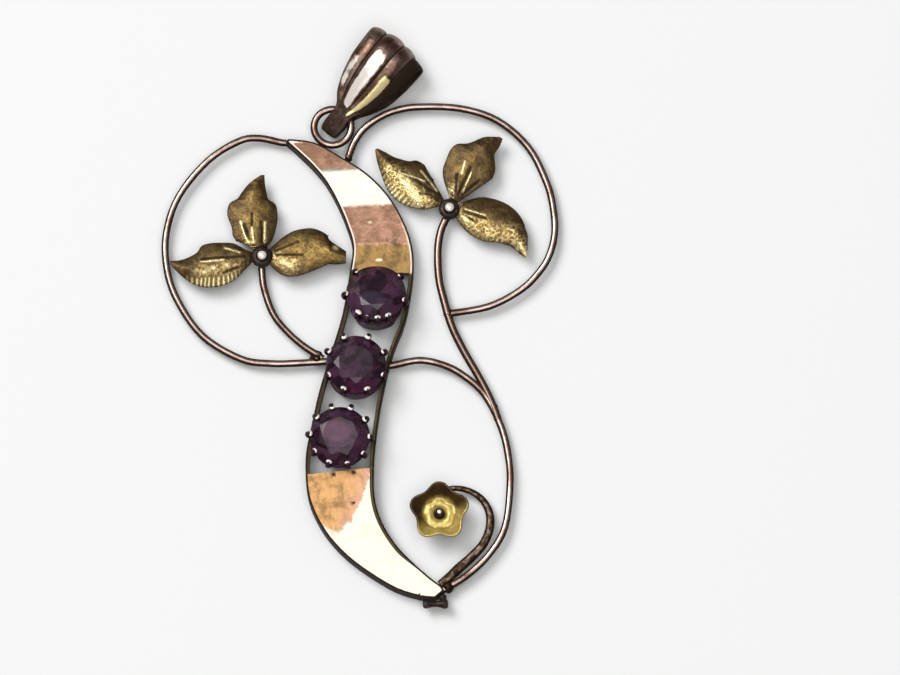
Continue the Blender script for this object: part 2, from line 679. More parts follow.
def bail_gold(shade):
    look = bpy.context.scene.pendant_metal
    body = shade.mix(shade.step(shade.noise(1.0, 4.0, 0.6), 0.4, 0.65), look.brown, look.umber)
    rosy = shade.times(shade.step(shade.noise(1.6, 4.0, 0.65), 0.42, 0.66), 0.4)
    body = shade.mix(rosy, body, look.wire)
    ridge = shade.mix(shade.attribute("amber"), look.white, look.glint)
    ragged = shade.times(shade.minus(shade.noise(0.8, 4.0, 0.65), 0.5), 1.3)
    shine = shade.step(shade.plus(shade.attribute("shine"), ragged), 0.25, 0.6)
    colour = shade.mix(shine, body, ridge)
    grime = shade.plus(shade.attribute("groove"), shade.times(shade.noise(0.5, 5.0, 0.7), 0.4))
    dirt = shade.times(shade.step(grime, 0.5, 1.1), shade.minus(1.0, shine))
    dirt = shade.most(dirt, shade.step(shade.recess(0.8), 0.4, 0.8))
    bumps = shade.bump(shade.noise(0.6, 4.0, 0.6), 0.05)
    bumps = shade.bump(shade.times(dirt, shade.noise(0.18, 3.0)), 0.04, bumps)
    rough = shade.range(shine, 0.34, 0.22)
    return shade.metal(colour, dirt, rough, bumps, shade.times(shine, 0.7))


def leaf_gold(shade):
    look = bpy.context.scene.pendant_metal
    glitter = shade.attribute("glitter")
    polish = shade.attribute("polish")
    matte = shade.mix(shade.step(shade.noise(0.6, 5.0, 0.7), 0.38, 0.64), look.matte, look.umber)
    golden = shade.mix(shade.step(shade.noise(0.4, 5.0, 0.7), 0.42, 0.6), look.amber, look.yellow)
    colour = shade.mix(shade.attribute("tone"), matte, golden)
    stipple = shade.cells(0.17)
    dots = shade.times(glitter, shade.step(shade.cells(0.24), 0.52, 0.64))
    glint = shade.most(shade.times(polish, shade.step(stipple, 0.15, 0.4)), dots)
    colour = shade.mix(glint, colour, look.glint)
    punched = shade.times(shade.step(shade.cells(0.26), 0.34, 0.14), 0.45)
    dirt = shade.most(shade.side(0.1, 0.6), shade.step(shade.recess(0.35), 0.35, 0.85))
    dirt = shade.most(dirt, shade.times(punched, shade.minus(1.0, polish)))
    dirt = shade.most(dirt, shade.attribute("ink"))
    rough = shade.range(polish, 0.46, 0.24)
    bumps = shade.bump(shade.times(stipple, shade.range(glitter, 0.35, 1.0)), 0.035)
    bumps = shade.bump(shade.noise(0.3, 4.0, 0.65), 0.03, bumps)
    return shade.metal(colour, dirt, rough, bumps, shade.times(glint, 0.45))


def blossom_gold(shade):
    look = bpy.context.scene.pendant_metal
    polish = shade.attribute("polish")
    matte = shade.mix(shade.noise(0.7, 4.0), look.matte, look.umber)
    lemon = shade.mix(shade.step(shade.noise(0.4, 4.0, 0.6), 0.4, 0.65), look.lemon, look.yellow)
    colour = shade.mix(polish, matte, lemon)
    dirt = shade.most(shade.side(0.0, 0.35), shade.step(shade.recess(0.5), 0.6, 1.0))
    dirt = shade.most(dirt, shade.attribute("ink"))
    bumps = shade.bump(shade.noise(0.3, 4.0, 0.65), 0.07)
    return shade.metal(colour, dirt, shade.range(polish, 0.42, 0.24), bumps, shade.times(polish, 0.6))


def dark_gold(shade):
    look = bpy.context.scene.pendant_metal
    worn = shade.times(shade.step(shade.noise(0.5, 4.0), 0.5, 0.85), 0.25)
    colour = shade.mix(worn, look.soot, look.wire)
    bumps = shade.bump(shade.noise(0.3, 4.0, 0.6), 0.03)
    return shade.finish(
        Base_Color=colour, Metallic=0.5, Roughness=0.4, Specular_IOR_Level=0.12, Normal=bumps
    )


def cup_gold(shade):
    """The collets: near-black gold that takes on the colour of the stones above it."""
    look = bpy.context.scene.pendant_metal
    tinged = shade.step(shade.noise(0.8, 3.0), 0.35, 0.6)
    colour = shade.mix(tinged, look.soot, look.wine)
    bumps = shade.bump(shade.noise(0.3, 4.0, 0.6), 0.03)
    return shade.finish(
        Base_Color=colour, Metallic=0.4, Roughness=0.35, Specular_IOR_Level=0.12, Normal=bumps
    )


def bright_gold(shade):
    """Polished tips, bright on top and dark round their foot."""
    look = bpy.context.scene.pendant_metal
    colour = shade.mix(shade.side(0.45, 0.7), look.white, look.soot)
    bumps = shade.bump(shade.noise(0.3, 3.0), 0.01)
    return shade.finish(Base_Color=colour, Metallic=0.35, Roughness=0.3, Normal=bumps)


def purple_stone(shade):
    """Dull purple quartz with veils and a worn, slightly milky face."""
    look = bpy.context.scene.pendant_stone
    veils = shade.step(shade.noise(1.0, 4.0, 0.6, warp=1.0), 0.40, 0.75)
    pale = shade.spot((-1.9, -10.7), (1.5, 1.1))
    grey = shade.spot((0.9, 0.5), (1.5, 1.0))
    warm = shade.spot((0.2, -6.7), (1.6, 0.7))
    patch = shade.step(shade.tiles(0.9), 0.35, 0.7)
    hazy = shade.plus(shade.times(veils, 0.35), shade.times(patch, 0.65))
    colour = shade.mix(hazy, look.body, look.veil)
    patches = shade.times(pale, shade.range(shade.noise(0.7, 4.0, 0.6), 0.2, 1.0))
    colour = shade.mix(patches, colour, look.pale)
    colour = shade.mix(shade.times(grey, 0.35), colour, look.grey)
    colour = shade.mix(shade.times(warm, 0.6), colour, look.warm)
    rough = shade.range(shade.noise(0.6, 4.0), 0.14, 0.3)
    bumps = shade.bump(shade.noise(0.25, 3.0, 0.6, stretch=(3.0, 0.6, 1.0)), 0.004)
    return shade.finish(
        Base_Color=colour, Roughness=rough, IOR=1.545, Transmission_Weight=look.clearness,
        Specular_IOR_Level=0.3, Normal=bumps,
    )


# Sizes and colours


def swatch(name, description, default):
    """A colour in the panel."""
    return FloatVectorProperty(
        name=name, description=description, default=default, subtype="COLOR", min=0, max=1
    )


def measure(name, description, default, least, most):
    """A length in the panel."""
    return FloatProperty(
        name=name, description=description, default=default, min=least, max=most,
        subtype="DISTANCE", unit="LENGTH", precision=5,
    )


class PendantMetal(bpy.types.PropertyGroup):
    rose: swatch("Rose", "Rose gold of the ribbon", (0.95, 0.54, 0.36))
    copper: swatch("Copper", "Rose gold of the ribbon where it is duller", (0.57, 0.32, 0.205))
    pale: swatch("Pale rose", "Rose gold where it is polished", (0.57, 0.555, 0.475))
    blush: swatch("Blush", "Polished rose gold, pinker part", (0.60, 0.49, 0.39))
    wire: swatch("Wire", "Rose gold of the wires", (0.52, 0.40, 0.35))
    brown: swatch("Brown", "Tarnished rose gold of the bail and the wires", (0.19, 0.11, 0.08))
    white: swatch("White", "Polished tips and rims", (0.96, 0.88, 0.80))
    orange: swatch("Orange", "Stained gold near the stones, bright part", (0.55, 0.31, 0.13))
    pink: swatch("Pink", "Stained gold near the stones, pink part", (0.56, 0.31, 0.21))
    olive: swatch("Olive", "Stained gold near the stones, dark part", (0.25, 0.15, 0.065))
    tan: swatch("Tan", "Yellowish gold of the upper plate near the stones", (0.33, 0.20, 0.075))
    rail: swatch("Rail", "Dark rails beside the stones", (0.05, 0.042, 0.022))
    matte: swatch("Matte gold", "Stippled yellow gold of the leaves, and of old stain", (0.15, 0.10, 0.045))
    umber: swatch("Umber", "Tarnish on the leaves and on the bail", (0.08, 0.05, 0.024))
    amber: swatch("Amber", "Worn yellow gold, dark part", (0.26, 0.16, 0.05))
    yellow: swatch("Yellow", "Worn yellow gold, bright part", (0.60, 0.41, 0.125))
    lemon: swatch("Lemon", "Greenish yellow gold of the blossom", (0.72, 0.59, 0.19))
    glint: swatch("Glint", "Bright-cut yellow gold", (0.98, 0.82, 0.42))
    oxide: swatch("Oxide", "Dark tarnish on sides and in corners", (0.028, 0.016, 0.011))
    soot: swatch("Soot", "Near-black tarnish of the collets and the drop eye", (0.035, 0.024, 0.020))
    wine: swatch("Wine", "Purple that the collets take on from the stones", (0.060, 0.018, 0.042))


class PendantStone(bpy.types.PropertyGroup):
    size: measure("Diameter", "Diameter of a stone", 0.005, 0.004, 0.006)
    clearness: FloatProperty(
        name="Clearness", description="How much light passes through", default=0.4, min=0, max=1
    )
    body: swatch("Body", "Colour of the stone", (0.018, 0.003, 0.012))
    veil: swatch("Veils", "Colour of its cloudy veils", (0.125, 0.045, 0.10))
    pale: swatch("Pale patch", "Colour of the lowest stone's milky middle", (0.26, 0.10, 0.17))
    grey: swatch("Grey patch", "Colour of the uppermost stone's hazy face", (0.11, 0.085, 0.15))
    warm: swatch("Warm patch", "Colour of the middle stone's lower side", (0.14, 0.022, 0.085))


class PendantWire(bpy.types.PropertyGroup):
    loop: measure("Loop wire", "Diameter of the loops", 0.00062, 0.0003, 0.001)
    left_stem: measure("Left stem", "Diameter of the left leaf stem", 0.0006, 0.0003, 0.001)
    right_stem: measure("Right stem", "Diameter of the right leaf stem", 0.00068, 0.0003, 0.001)
    sides: IntProperty(name="Sides", description="Sides of a wire's section", default=20, min=8, max=48)


class PendantLeaf(bpy.types.PropertyGroup):
    pitch: measure("Engraving step", "Distance between a leaf's mesh lines", 0.00008, 0.00004, 0.0004)
    crown: measure("Crown", "Height of a leaf's middle above its edge", 0.00045, 0, 0.001)
    sheet: measure("Sheet", "Thickness of a leaf", 0.00026, 0.0001, 0.0005)


class PendantStage(bpy.types.PropertyGroup):
    width: measure("View width", "Width of the view at the pendant", 0.075, 0.03, 0.3)
    height: FloatProperty(
        name="View elevation", description="Angle of the camera above the table", default=math.radians(76),
        min=0.1, max=math.pi / 2, subtype="ANGLE", unit="ROTATION",
    )
    away: measure("Camera distance", "Distance of the camera", 1.5, 0.2, 5)
    overhead: FloatProperty(name="Overhead light", description="Power of the lamp above", default=5.8, min=0)
    key: FloatProperty(name="Key light", description="Power of the key light", default=8.2, min=0)
    paper: swatch("Floor", "Colour of the floor", (0.925, 0.95, 0.945))


# Ribbon


# Bends of the plates along the ribbon: headward, height
PLATE_BENDS = [
    (-26.0, -0.24), (-12.0, 0.14), (4.0, 0.05), (5.9, 0.0), (9.1, -0.11), (12.2, 0.0), (17.0, -0.16),
]


def plate_lift(point):
    """How far the beaten plates rise or sink at a point, in millimetres."""
    slant = point.dot(HEADWARD) - 0.06 * point.dot(RIGHTWARD)
    rough = 0.008 * grain(point, 2.5) + 0.002 * grain(point, 0.8, 3.0)
    return profile(PLATE_BENDS, slant) + rough


class PENDANT_OT_ribbon(bpy.types.Operator):
    """Builds the ribbon with its beaten plates and rounded rims"""

    bl_idname = "pendant.ribbon"
    bl_label = "Ribbon"

    def execute(self, context):
        bm = copy_of("ribbon_frame")
        for face in bm.faces:
            if face.normal.z > 0.9 and face.calc_center_median().z > WALL_TOP - 0.02:
                face.material_index = 1
        for vert in bm.verts:
            if abs(vert.co.z - PLATE_TOP) < 0.01:
                vert.co.z = WALL_TOP
        weld(bm, COARSE_WELD)
        simplify(bm, 0.5, delimit={"MATERIAL"})
        rims = [e for e in bm.edges if self.is_rim(e)]
        outline = self.samples([e for e in rims if self.is_outer(e)])
        for face in bevel(bm, rims, offset=0.09, segments=3):
            face.material_index = 1
        bmesh.ops.triangulate(bm, faces=bm.faces)
        slice_up(bm, RIGHTWARD, pitch=0.15)
        slice_up(bm, HEADWARD, pitch=0.2)
        self.keep_flat(bm)
        gap, right, pit = layers(bm, "gap", "right", "pit")
        for vert in bm.verts:
            place = vert.co
            vert[gap] = outline.find(Vector((place.x, place.y, WALL_TOP)))[2]
            vert[right] = float(self.off_middle(place) > 0)
            vert[pit] = max(1 - between((place.xy - Vector((x, y))).length, r * 0.6, r) for x, y, r in PITS)
            vert.co.z += (plate_lift(place) - 0.06 * vert[pit]) * between(place.z, 1.2, 1.5)
        outward(bm)
        make_piece(bm, "ribbon", [ribbon_gold, wall_gold], ["ribbon_frame"], sharp=30.0)
        return {"FINISHED"}

    def off_middle(self, point):
        """How far a place lies to the right of the ribbon's middle line."""
        return point.dot(RIGHTWARD) - profile(RIBBON_MIDDLE, point.dot(HEADWARD))

    def samples(self, edges):
        """Places along edges, ready to be searched."""
        places = []
        for edge in edges:
            start, end = edge.verts[0].co, edge.verts[1].co
            parts = max(1, round((end - start).length / 0.05))
            places += [start.lerp(end, k / parts) for k in range(parts + 1)]
        tree = KDTree(len(places))
        for i, place in enumerate(places):
            tree.insert(place, i)
        tree.balance()
        return tree

    def is_outer(self, edge):
        """Whether a rim belongs to the ribbon's outline and not to its open stretch."""
        middle = (edge.verts[0].co + edge.verts[1].co) / 2
        if not OPEN_LOW < middle.dot(HEADWARD) < OPEN_TOP:
            return True
        wall = min(edge.link_faces, key=lambda f: abs(f.normal.z))
        return self.off_middle(middle) * wall.normal.dot(RIGHTWARD) > 0

    def keep_flat(self, bm):
        """Marks the border between level faces and rounded rims, so that the level ones stay level."""
        bm.normal_update()
        for edge in bm.edges:
            if len(edge.link_faces) == 2:
                ups = sorted(f.normal.z for f in edge.link_faces)
                if ups[1] > 0.99 and ups[0] < 0.975:
                    edge.smooth = False

    def is_rim(self, edge):
        """An upper edge of the walls: one face looks up and the other sideways."""
        if len(edge.link_faces) != 2 or min(v.co.z for v in edge.verts) < WALL_TOP - 0.02:
            return False
        ups = sorted(abs(f.normal.z) for f in edge.link_faces)
        return ups[0] < 0.3 and ups[1] > 0.9


# Stones


# Heights of a stone's girdle, crown, table and culet, radius of its table, and height of its blank
GIRDLE_Z = 2.6
CROWN_Z = GIRDLE_Z + 0.08
TABLE_Z = CROWN_Z + 0.75
CULET_Z = GIRDLE_Z - 2.15
TABLE_RADIUS = 1.5
BLANK_HEIGHT = 3.6


def seat(i):
    """The matrix that puts a stone or collet, made upright at the origin, in its place."""
    x, y, lean, _ = COLLETS[i]
    tilt = Matrix.Rotation(math.radians(-lean), 4, RIGHTWARD)
    up = Matrix.Translation((0, 0, LEAN_HEIGHT))
    return Matrix.Translation((x, y, 0)) @ up @ tilt @ up.inverted()


def facet(bm, azimuth, slope, radius, height):
    """Cuts away what lies outside a plane through a point on the stone's radius."""
    a = math.radians(azimuth)
    s = math.radians(slope)
    out = Vector((math.cos(a), math.sin(a), 0.0))
    normal = out * math.sin(s) + UP * math.cos(s)
    cut = bmesh.ops.bisect_plane(
        bm, geom=bm.verts[:] + bm.edges[:] + bm.faces[:], dist=0.0002,
        plane_co=out * radius + UP * height, plane_no=normal, clear_outer=True,
    )
    rim = edges_of(cut["geom_cut"])
    if rim:
        bmesh.ops.contextual_create(bm, geom=rim)


class PENDANT_OT_stones(bpy.types.Operator):
    """Cuts three round stones, facet by facet"""

    bl_idname = "pendant.stones"
    bl_label = "Stones"

    def execute(self, context):
        radius = context.scene.pendant_stone.size / MM / 2
        bezel = math.degrees(math.atan2(TABLE_Z - CROWN_Z, radius - TABLE_RADIUS))
        under = 180 - math.degrees(math.atan2(GIRDLE_Z - CULET_Z, radius))
        # Rounds of facets: how many, turned by, slope, then radius and height of a point on them
        rounds = [
            (8, 0.0, bezel, radius, CROWN_Z), (8, 22.5, bezel * 0.55, TABLE_RADIUS * 0.924, TABLE_Z),
            (16, 11.25, bezel + 5.0, radius * 0.985, CROWN_Z), (1, 0.0, 0.0, 0.0, TABLE_Z),
            (8, 0.0, under, radius, GIRDLE_Z), (16, 11.25, under - 2.0, radius * 0.985, GIRDLE_Z),
        ]
        for i in range(3):
            bm = bmesh.new()
            first = COLLETS[i][3][0]
            middle = Matrix.Translation((0, 0, CULET_Z + BLANK_HEIGHT / 2))
            bmesh.ops.create_cone(
                bm, cap_ends=True, segments=64, radius1=radius, radius2=radius, depth=BLANK_HEIGHT,
                matrix=middle,
            )
            for count, turn, slope, reach, height in rounds:
                for k in range(count):
                    facet(bm, first + turn + 360 / count * k, slope, reach, height)
            weld(bm, COARSE_WELD)
            simplify(bm, 1.0)
            worn = [e for e in bm.edges if e.calc_face_angle(0.0) > math.radians(4)]
            bevel(bm, worn, offset=0.02, segments=1)
            outward(bm)
            move(bm, seat(i))
            node = "stone_%d" % (i + 1)
            make_piece(bm, "cut_" + node, [purple_stone], [node], sharp=None)
        return {"FINISHED"}


# Collets


# A cup, up its outside and down its inside: radius, height
COLLET_CUP = [
    (1.54, 0.49), (1.60, 0.45), (1.76, 0.45), (1.82, 0.51), (1.85, 1.00), (1.88, 1.60), (2.10, 1.86),
    (2.28, 1.99), (2.26, 2.06), (2.06, 2.12), (1.78, 1.86), (1.64, 1.70), (1.57, 0.90), (1.54, 0.49),
]
# A claw from its foot to its tip: radius, height, width, depth
CLAW_ROUTE = [
    (1.92, 1.55, 0.50, 0.26), (2.20, 1.92, 0.48, 0.26), (2.55, 2.22, 0.46, 0.26),
    (2.76, 2.50, 0.44, 0.26), (2.76, 2.80, 0.40, 0.26), (2.62, 3.00, 0.38, 0.24),
    (2.45, 3.08, 0.34, 0.20),
]
# The rounded tip: place on a claw that points along +X, radius, and its height as a share of that
TIP_AT = Vector((2.44, 0.0, 3.06))
TIP_RADIUS = 0.23
TIP_SQUASH = 0.42


def claw(bm, azimuth, odd=1.0):
    """One claw, with its bright tip on material 1, smaller or larger by `odd`."""
    turn = Matrix.Rotation(math.radians(azimuth), 4, UP)
    stand = Matrix.Rotation(math.radians(90), 4, "X")
    before = set(bm.verts)
    rows = [(r, z, 0.0, depth, width) for r, z, width, depth in CLAW_ROUTE]
    sweep(bm, curve(rows, 3), sides=12)
    shaft = [v for v in bm.verts if v not in before]
    bmesh.ops.transform(bm, matrix=turn @ stand, verts=shaft)
    tip = turn @ TIP_AT
    size = TIP_RADIUS * (1 + 0.16 * math.sin(azimuth * 2.7)) * odd
    end = ball(bm, tip, size, TIP_SQUASH, segments=16)
    seen = Matrix.Translation(tip) @ turn
    flat = Matrix.Diagonal((0.74, 1.08, 1.0, 1.0))
    bmesh.ops.transform(bm, matrix=seen @ flat @ seen.inverted(), verts=end)
    use_second(end)


class PENDANT_OT_collets(bpy.types.Operator):
    """Builds the three collets with their rounded claws"""

    bl_idname = "pendant.collets"
    bl_label = "Collets"

    def execute(self, context):
        for i in range(3):
            bm = bmesh.new()
            turned_profile(bm, COLLET_CUP, steps=60)
            self.spread(bm, CUP_SPREAD[i])
            for angle in COLLETS[i][3]:
                claw(bm, angle, ODD_CLAWS.get(angle, 1.0) if i == 0 else 1.0)
            outward(bm)
            move(bm, seat(i))
            node = "collet_%d" % (i + 1)
            make_piece(bm, "claw_" + node, [cup_gold, bright_gold], [node])
        return {"FINISHED"}

    def spread(self, bm, share):
        """Widens a collet's cup on its lower side, where its wall shows under the stone."""
        for vert in bm.verts:
            reach = vert.co.to_2d().length
            if reach > 1.7:
                low = between(-vert.co.dot(HEADWARD) / reach, 0.2, 0.9) * between(2.3 - vert.co.z, 0.0, 0.5)
                vert.co.xy *= 1 + share * low


# Scrolls


def wire(bm, route, size, seed, dulled=0.0):
    """A wire along a level route, a little uneven as if drawn by hand."""
    sides = bpy.context.scene.pendant_wire.sides
    dull = bm.verts.layers.float.get("dull") or bm.verts.layers.float.new("dull")
    before = set(bm.verts)
    stations = []
    for x, y in curve(route, 5):
        at = Vector((x, y, 0.0))
        width = size * (0.975 - 0.08 * abs(grain(at, 2.4, seed)))
        height = WIRE_Z + 0.02 * grain(at, 4.0, seed + 5.0)
        stations.append((x, y, height, width, width))
    sweep(bm, stations, sides)
    for vert in bm.verts:
        if vert not in before:
            vert[dull] = dulled


def solder(bm, x, y, radius):
    """A drop of solder with an uneven skin, on material 1."""
    middle = Vector((x, y, WIRE_Z))
    drop = ball(bm, middle, radius, squash=0.85)
    for vert in drop:
        vert.co += (vert.co - middle) * 0.3 * grain(vert.co, 0.45)
    use_second(drop)


class PENDANT_OT_scrolls(bpy.types.Operator):
    """Builds the wire scrolls, their stems and the drops of solder"""

    bl_idname = "pendant.scrolls"
    bl_label = "Scrolls"

    def execute(self, context):
        sizes = context.scene.pendant_wire
        left = bmesh.new()
        wire(left, LEFT_LOOP, sizes.loop / MM, seed=1.0)
        wire(left, LEFT_STEM, sizes.left_stem / MM, seed=2.0, dulled=0.6)
        for drop in LEFT_SOLDER:
            solder(left, *drop)
        outward(left)
        make_piece(left, "left_scroll_wires", [wire_gold, stem_gold], ["left_scroll"])
        right = bmesh.new()
        wire(right, RIGHT_LOOP, sizes.loop / MM, seed=3.0)
        wire(right, RIGHT_STEM, sizes.right_stem / MM, seed=4.0, dulled=0.75)
        wire(right, LOWER_LOOP, sizes.loop / MM, seed=5.0)
        for drop in RIGHT_SOLDER:
            solder(right, *drop)
        outward(right)
        make_piece(right, "right_scroll_wires", [wire_gold, stem_gold], ["right_scroll"])
        stem = bmesh.new()
        rows = [(x, y, WIRE_Z, width, height) for x, y, width, height in BLOSSOM_STEM]
        sweep(stem, curve(rows, 5), sides=20)
        outward(stem)
        make_piece(stem, "blossom_stem_wire", [stem_gold], ["blossom_stem"])
        return {"FINISHED"}


# Leaves


# Step along a leaf at which its margins are looked up
MARGIN_STEP = 0.1
# Depth of the engraved cuts, rise of the bright ones, depth and pitch of the comb of strokes
CUT_DEPTH = 0.09
LIGHT_RISE = 0.03
COMB_DEPTH = 0.05
COMB_PITCH = 0.37
# The rough base of a bead: radius, height
BEAD_BASE = [
    (0.0, 1.25), (0.84, 1.25), (0.92, 1.33), (0.92, 1.56), (0.80, 1.68), (0.60, 1.74), (0.0, 1.76),
]


def margins(bm):
    """Left and right edge of a leaf that lies along +X, for each step of its length."""
    left, right = {}, {}
    for vert in bm.verts:
        k = round(vert.co.x / MARGIN_STEP)
        left[k] = max(left.get(k, -99.0), vert.co.y)
        right[k] = min(right.get(k, 99.0), vert.co.y)
    return left, right


def to_line(point, start, end):
    """Distance from a point to the line between two others."""
    way = end - start
    share = min(max((point - start).dot(way) / way.length_squared, 0.0), 1.0)
    return (point - start - way * share).length


def marks_at(co, marks):
    """How much of each kind of mark lies at a place on a leaf, from 0 to 1."""
    found = {"warm": 0.0, "gold": 0.0, "light": 0.0, "cut": 0.0}
    for kind, x0, y0, x1, y1, width in marks:
        gap = to_line(co.xy, Vector((x0, y0)), Vector((x1, y1)))
        ragged = width * (1 + 0.35 * grain(co, 0.5, width * 9))
        found[kind] = max(found[kind], math.exp(-((gap / ragged) ** 2)))
    return found


def leaf_relief(co, share, side, low, node, crown):
    """Height of a leaf's face over its edge, then its tone, polish, depth of cut and glitter."""
    found = marks_at(co, LEAF_MARKS[node])
    base, brightness, comb = LEAF_FINISH[node]
    gold = found["gold"] * brightness
    dome = crown * (1 - abs(side) ** 1.5)
    facing = side * low
    toothed = between(side * math.copysign(1.0, low), 0.5, 0.74)
    comb *= toothed * between(share, 0.2, 0.35) * (1 - between(share, 0.75, 0.88))
    strokes = 0.5 + 0.5 * math.cos(2 * math.pi * (co.x + 0.15 * grain(co, 1.2, 4.0)) / COMB_PITCH)
    hammer = 0.03 * grain(co, 1.0, 7.0)
    stipple = (0.006 + 0.012 * gold) * grain(co, 0.17, 1.0) * (1 - comb)
    cut = found["cut"] * (1 - found["light"])
    marks = dome - CUT_DEPTH * cut + LIGHT_RISE * found["light"] - COMB_DEPTH * comb * (1 - strokes)
    height = marks + hammer + stipple
    golden = 0.35 * found["warm"] + 0.9 * gold + 0.6 * comb
    tone = base + 0.12 * between(facing, -0.1, 0.5) + golden + 0.4 * grain(co, 0.9, 2.0)
    tone *= between((1 - abs(side)) * 2.0, 0.1, 0.9) * (1 - 0.6 * comb * (1 - strokes))
    polish = max(found["light"], comb * strokes)
    return height, min(max(tone, 0.0), 1.0), polish, cut, gold * (1 - comb)


class PENDANT_OT_leaves(bpy.types.Operator):
    """Builds the six engraved leaves and the two beads that hold them"""

    bl_idname = "pendant.leaves"
    bl_label = "Leaves"

    def execute(self, context):
        sizes = context.scene.pendant_leaf
        for node, head, heading, length in LEAVES:
            bm = copy_of(node)
            place = Matrix.Translation(head) @ Matrix.Rotation(math.radians(heading), 4, UP)
            move(bm, place.inverted())
            under = [f for f in bm.faces if f.normal.z < 0.3]
            bmesh.ops.delete(bm, geom=under, context="FACES")
            simplify(bm, 0.1)
            bmesh.ops.triangulate(bm, faces=bm.faces)
            pitch = sizes.pitch / MM
            slice_up(bm, Vector((1, 0, 0)), pitch)
            slice_up(bm, Vector((0, 1, 0)), pitch)
            low = -math.cos(math.radians(heading) + HEAD_TURN)
            self.engrave(bm, length, low, node, sizes.crown / MM)
            move(bm, place)
            leaf = make_piece(bm, "engraved_" + node, [leaf_gold], [node])
            thicken(leaf, sizes.sheet / MM)
        for side, head in (("left", LEFT_HEAD), ("right", RIGHT_HEAD)):
            self.bead(side, head)
        return {"FINISHED"}

    def engrave(self, bm, length, low, node, crown):
        """Shapes a leaf's face. `low` says how far its left half faces down the photograph, from -1 to 1."""
        left, right = margins(bm)
        tone, polish, ink, glitter = layers(bm, "tone", "polish", "ink", "glitter")
        for vert in bm.verts:
            k = round(vert.co.x / MARGIN_STEP)
            middle = (left[k] + right[k]) / 2
            half = max((left[k] - right[k]) / 2, 0.05)
            side = min(max((vert.co.y - middle) / half, -1.0), 1.0)
            share = vert.co.x / length
            shape = leaf_relief(vert.co, share, side, low, node, crown)
            rise, vert[tone], vert[polish], cut, vert[glitter] = shape
            narrow = between(half, 0.0, 1.2)
            vert.co.z = LEAF_EDGE + rise * narrow - 0.08 * between(share, 0.75, 1.0)
            rim = 0.9 * (1 - between((1 - abs(side)) * half, 0.04, 0.14))
            vert[ink] = max(cut * 0.9, rim)

    def bead(self, side, head):
        """A bead on a rough base, bright on its top only."""
        bm = bmesh.new()
        turned_profile(bm, BEAD_BASE)
        for vert in bm.verts:
            vert.co.xy *= 1 - 0.2 * abs(grain(vert.co + head, 0.7))
        ball(bm, Vector((0, 0, 1.72)), radius=0.52, squash=0.95, segments=32)
        outward(bm)
        for face in bm.faces:
            face.material_index = int(face.normal.z > 0.72 and face.calc_center_median().z > 1.85)
        bmesh.ops.translate(bm, vec=head, verts=bm.verts)
        make_piece(bm, side + "_sprig_bead", [dark_gold, bright_gold], [side + "_bead"])


# Blossom


# Radius of the cup between two petals, how much further a petal reaches, and both together
NOTCH_REACH = 1.92
PETAL_LENGTH = 0.53
TIP_REACH = 2.45
# The cup's middle line from its hollow to its rim: way out, height
BLOSSOM_ROWS = [
    (0.0, 1.22), (0.35, 1.24), (0.5, 1.34), (0.68, 1.52), (0.9, 1.58), (1.12, 1.52), (1.3, 1.50),
    (1.6, 1.68), (1.95, 2.02), (2.2, 2.28), (2.45, 2.46),
]


class PENDANT_OT_blossom(bpy.types.Operator):
    """Builds the five-petalled cup and its bead"""

    bl_idname = "pendant.blossom"
    bl_label = "Blossom"

    def execute(self, context):
        self.cup()
        self.seed()
        return {"FINISHED"}

    def cup(self):
        bm = bmesh.new()
        edges = edges_round(bmesh.ops.create_circle(bm, segments=160, radius=1.0)["verts"])
        rings = 26
        for k in range(rings):
            ring, edges = pull_ring(bm, edges)
            # The rings are a step apart, and the last one lies close round the middle
            ratio = (rings - k - 0.7) / (rings - k + 0.3)
            bmesh.ops.scale(bm, vec=(ratio, ratio, 1), verts=ring)
        bmesh.ops.contextual_create(bm, geom=edges)
        polish, ink = layers(bm, "polish", "ink")
        lit_way = (RIGHTWARD * 0.45 - HEADWARD).normalized()
        for vert in bm.verts:
            share = min(vert.co.to_2d().length, 1.0)
            angle = math.atan2(vert.co.y, vert.co.x)
            fold = abs(math.cos((angle - FIRST_PETAL) * PETALS / 2))
            reach = (NOTCH_REACH + PETAL_LENGTH * fold**2.2) * share
            # The middle is round and the rim follows the petals
            way = max(reach, TIP_REACH * share - (1 - share) * 0.3)
            z = profile(BLOSSOM_ROWS, way) + 0.1 * (1 - fold) ** 2 * between(share, 0.45, 0.9)
            at = Vector((reach * math.cos(angle), reach * math.sin(angle), z))
            at.z += 0.03 * grain(at, 0.4, 2.0) * between(reach, 0.4, 0.7)
            lit = between(Vector((math.cos(angle), math.sin(angle), 0)).dot(lit_way), -0.1, 0.5)
            boss = between(reach, 0.42, 0.55) * (1 - between(reach, 1.2, 1.6))
            vert.co = at
            vert[polish] = max(boss, lit * between(reach, 1.2, 1.5) * 0.9)
            shaded = 0.12 * (1 - lit) * between(reach, 1.15, 1.4)
            hollow = 1 - between(reach, 0.40, 0.54)
            vert[ink] = max(hollow, shaded, 0.25 * math.exp(-(((reach - 1.4) / 0.1) ** 2)))
        bm.normal_update()
        if bm.faces[:][0].normal.z < 0:
            bmesh.ops.reverse_faces(bm, faces=bm.faces)
        bmesh.ops.translate(bm, vec=BLOSSOM_AT, verts=bm.verts)
        cup = make_piece(bm, "blossom_cup", [blossom_gold], ["blossom"], sharp=80.0)
        thicken(cup, thickness=0.16)

    def seed(self):
        bm = bmesh.new()
        ball(bm, BLOSSOM_AT + UP * 1.85, radius=0.34)
        for face in bm.faces:
            face.material_index = int(face.normal.z > 0.9)
        outward(bm)
        make_piece(bm, "blossom_seed", [dark_gold, bright_gold], ["blossom_bead"])


# Bail


